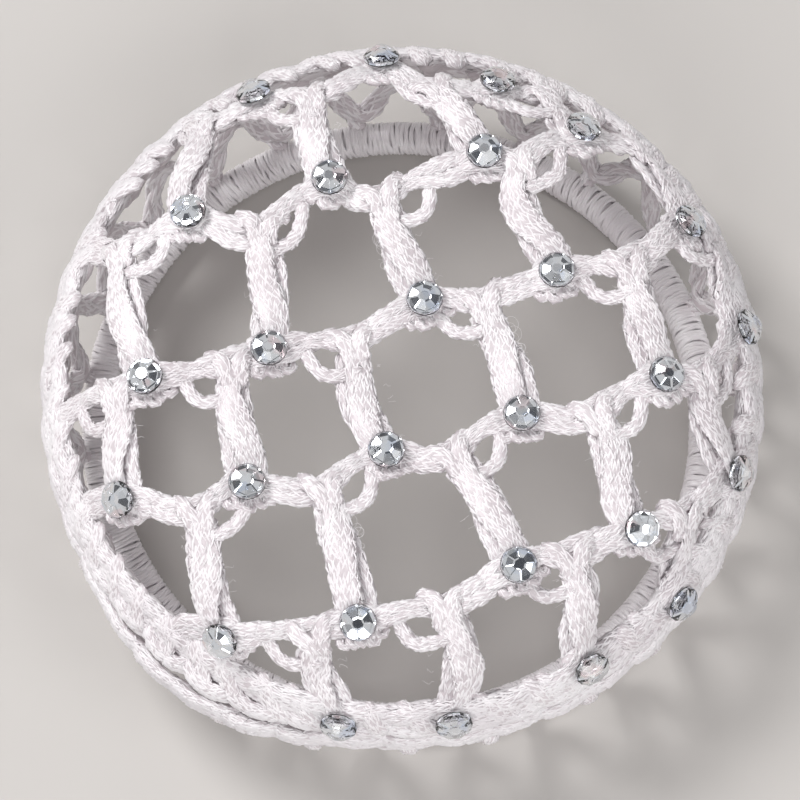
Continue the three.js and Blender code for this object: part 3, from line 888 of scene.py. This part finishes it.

# Painted fire: pale blue and rose patches in the foil's colour stand in for the crystals' coloured
# glints
foil_place = foil_tree.nodes.new("ShaderNodeNewGeometry")
painted_fire = foil_tree.nodes.new("ShaderNodeTexNoise")
painted_fire.inputs["Scale"].default_value = 420
painted_fire.inputs["Detail"].default_value = 1
foil_tree.links.new(foil_place.outputs["Position"], painted_fire.inputs["Vector"])
painted_fire_tints = foil_tree.nodes.new("ShaderNodeValToRGB")
painted_fire_tints.color_ramp.elements[0].position = 0.34
painted_fire_tints.color_ramp.elements[0].color = (0.78, 0.83, 0.93, 1)
painted_fire_tints.color_ramp.elements[1].position = 0.68
painted_fire_tints.color_ramp.elements[1].color = (0.93, 0.82, 0.83, 1)
for share, tint in ((0.42, (0.88, 0.90, 0.93, 1)), (0.6, (0.90, 0.90, 0.91, 1))):
    painted_fire_tints.color_ramp.elements.new(share).color = tint
foil_tree.links.new(painted_fire.outputs["Fac"], painted_fire_tints.inputs["Fac"])
foil_tree.links.new(painted_fire_tints.outputs["Color"], foil_surface.inputs["Base Color"])

cut = stone_mesh("cut_crystal")
cut.materials.append(glass)
back = foil_mesh("crystal_back")
back.materials.append(foil)
for r, (stones, _, _) in enumerate(PLANS):
    for i, spot in enumerate(stones):
        grown = spot * (1 + STONE_DIAMETER / 2 / np.hypot(*spot))
        seat = (max(BAR_DEPTH, BORDER_DEPTH) if over_border(grown) else BAR_DEPTH) / 2 + SEAM
        place, normal = dome(spot[None], seat)
        turn = Vector((0, 0, 1)).rotation_difference(Vector(normal[0])).to_matrix().to_4x4()
        spin = Matrix.Rotation(rng.uniform(0, math.tau), 4, "Z")
        for mesh, name in ((cut, "crystal_cut"), (back, "crystal_foil")):
            crystal = bpy.data.objects.new(f"{name}_{r + 1}_{i + 1}", mesh)
            crystal.matrix_world = Matrix.Translation(Vector(place[0]) * MM) @ turn @ spin
            bpy.context.scene.collection.objects.link(crystal)
            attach(crystal, "root")
            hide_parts(f"crystal_{r + 1}_{i + 1}")

# Floor, light and camera
floor_mesh = bpy.data.meshes.new("floor")
corners = [(x * FLOOR_REACH, y * FLOOR_REACH, 0) for x, y in ((-1, -1), (1, -1), (1, 1), (-1, 1))]
floor_mesh.from_pydata(corners, [], [(0, 1, 2, 3)])
floor = bpy.data.objects.new("floor", floor_mesh)
bpy.context.scene.collection.objects.link(floor)
floor.location.z = -FLOOR_DROP
floor_look, _, _ = shader("pale_floor", Base_Color=(0.52, 0.495, 0.475, 1), Roughness=0.7)
floor_mesh.materials.append(floor_look)

# A light tent: bright boxes with darker gaps between them, so that the crystals sparkle, and
# brighter towards the floor
world = bpy.data.worlds.new("studio")
world.use_nodes = True
tree = world.node_tree
sky = tree.nodes["Background"]


def tent_math(operation, *values):
    node = tree.nodes.new("ShaderNodeMath")
    node.operation = operation
    for k, value in enumerate(values):
        if isinstance(value, (int, float)):
            node.inputs[k].default_value = value
        else:
            tree.links.new(value, node.inputs[k])
    return node.outputs[0]


heading = tree.nodes.new("ShaderNodeTexCoord")
split = tree.nodes.new("ShaderNodeSeparateXYZ")
tree.links.new(heading.outputs["Generated"], split.inputs[0])
around = tent_math("ARCTAN2", split.outputs["Y"], split.outputs["X"])
boxes = tent_math("COSINE", tent_math("MULTIPLY_ADD", around, TENT_BOXES, TENT_TURN))
bands = tent_math("COSINE", tent_math("MULTIPLY", split.outputs["Z"], TENT_BANDS))
tent = tree.nodes.new("ShaderNodeValToRGB")
tent.color_ramp.elements[0].position = 0.40
tent.color_ramp.elements[0].color = (0.13, 0.135, 0.15, 1)
tent.color_ramp.elements[1].position = 0.56
tent.color_ramp.elements[1].color = (1.1, 1.1, 1.1, 1)
pattern = tent_math("MULTIPLY_ADD", tent_math("MULTIPLY", boxes, bands), 0.5, 0.5)
low_glow = tent_math("MAXIMUM", tent_math("SUBTRACT", GLOW_HEIGHT, split.outputs["Z"]), 0)
tree.links.new(tent_math("MULTIPLY_ADD", low_glow, GLOW_RISE, pattern), tent.inputs["Fac"])
tree.links.new(tent.outputs["Color"], sky.inputs["Color"])
sky.inputs["Strength"].default_value = TENT_STRENGTH
bpy.context.scene.world = world
bpy.context.scene.view_settings.view_transform = "Standard"


def soft_light(name, place, size, power):
    lamp = bpy.data.lights.new(name, "AREA")
    lamp.shape = "DISK"
    lamp.size = size
    lamp.energy = power
    light = bpy.data.objects.new(name, lamp)
    light.location = place
    aim = Vector((0, 0, 0.02)) - Vector(place)
    light.rotation_euler = aim.to_track_quat("-Z", "Y").to_euler()
    bpy.context.scene.collection.objects.link(light)


soft_light("key", (-0.45, 0.35, 0.75), 0.4, 6.1)
soft_light("fill", (0.6, -0.35, 0.55), 0.5, 1.9)
soft_light("front", (-0.15, -0.7, 0.5), 0.5, 2.8)

back_way = Vector((0, -math.cos(CAMERA_ELEVATION), math.sin(CAMERA_ELEVATION)))
picture_up = Vector((0, math.sin(CAMERA_ELEVATION), math.cos(CAMERA_ELEVATION)))
aim = (TARGET - Vector((1, 0, 0)) * (TARGET_PIXEL[0] - PICTURE / 2) / PIXELS_PER_M
       - picture_up * (PICTURE / 2 - TARGET_PIXEL[1]) / PIXELS_PER_M)
lens = bpy.data.cameras.new("camera")
lens.sensor_width = 36
lens.lens = lens.sensor_width * PIXELS_PER_M * CAMERA_DISTANCE / PICTURE
lens.clip_start = 0.01
camera = bpy.data.objects.new("camera", lens)
camera.location = aim + back_way * CAMERA_DISTANCE
camera.rotation_euler = (-back_way).to_track_quat("-Z", "Y").to_euler()
bpy.context.scene.collection.objects.link(camera)
bpy.context.scene.camera = camera
